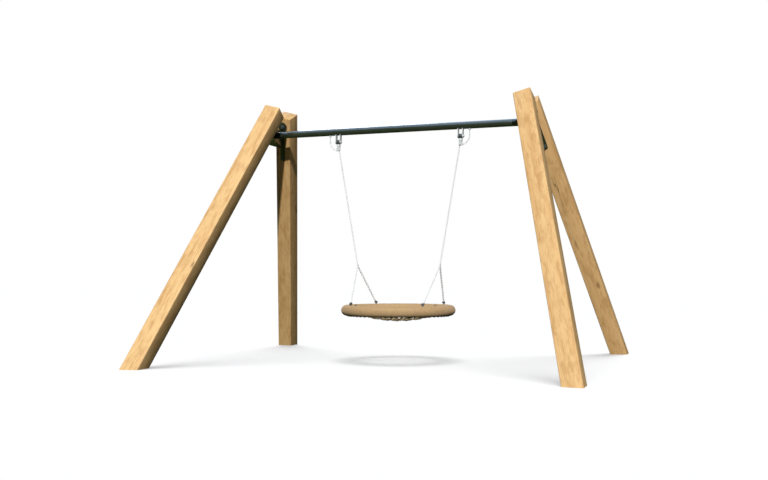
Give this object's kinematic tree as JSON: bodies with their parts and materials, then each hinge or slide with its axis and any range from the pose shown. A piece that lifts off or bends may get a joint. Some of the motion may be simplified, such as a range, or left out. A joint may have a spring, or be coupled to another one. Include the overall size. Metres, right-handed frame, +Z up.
{
  "type": "basket swing",
  "caption": "Basket swing: a round rope-bound net seat hung on short-link chains from a steel crossbeam held by splayed square timber legs.",
  "frame": {"origin": "on the ground, midway between the four feet", "axes": "+X along the crossbeam to the right, +Y to the rear, +Z up"},
  "size_m": [4.3602, 3.6306, 2.7499],
  "materials": {
    "timber": "oiled, satin",
    "slate_steel": "gloss powder coat",
    "galvanised": "hot-dip galvanised",
    "bearing_cast": "dark cast, satin",
    "lug_steel": "dark weathered steel",
    "bush_bronze": "sintered, satin",
    "foam": "closed-cell foam, matt",
    "ring_rope": "twisted rope winding",
    "net_rope": "braided rope"
  },
  "bodies": {
    "frame": {"leg_front_left": "timber", "leg_front_right": "timber", "leg_rear_left": "timber", "leg_rear_right": "timber", "crossbeam": "slate_steel", "head_web_left": "slate_steel", "head_web_right": "slate_steel", "head_flange_front_left": "slate_steel", "head_flange_front_right": "slate_steel", "head_flange_rear_left": "slate_steel", "head_flange_rear_right": "slate_steel", "leg_screws": "galvanised", "leg_washers": "galvanised", "beam_lock_screws": "galvanised", "hanger_lugs_left": "galvanised", "hanger_lugs_right": "galvanised", "swing_axle_left": "galvanised", "swing_axle_right": "galvanised", "axle_nuts": "galvanised", "safety_eye_left": "galvanised", "safety_eye_right": "galvanised"},
    "swing": {"bearing_housing_left": "bearing_cast", "bearing_housing_right": "bearing_cast", "bearing_bushes": "bush_bronze", "hanger_fork_left": "galvanised", "hanger_fork_right": "galvanised", "fork_pins": "galvanised", "chain_bolts": "galvanised", "upper_chain_left": "galvanised", "upper_chain_right": "galvanised", "safety_chain_left": "galvanised", "safety_chain_right": "galvanised"},
    "seat": {"delta_link_left": "galvanised", "delta_link_right": "galvanised", "lower_chain_front_left": "galvanised", "lower_chain_front_right": "galvanised", "lower_chain_rear_left": "galvanised", "lower_chain_rear_right": "galvanised", "shackles": "lug_steel", "shackle_pins": "lug_steel", "ring_lugs": "lug_steel", "ring_core": "galvanised", "ring_padding": "foam", "ring_rope": "ring_rope", "seat_net": "net_rope"}
  },
  "joints": [
    {"name": "swing_hinge", "type": "hinge", "parent": "frame", "child": "swing", "pos_m": [0, 0, 2.336], "axis": [1, 0, 0], "range_deg": [-60, 60]},
    {"name": "seat_rock", "type": "hinge", "parent": "swing", "child": "seat", "pos_m": [0, 0, 1.00542], "axis": [1, 0, 0], "range_deg": [-20, 20]}
  ]
}
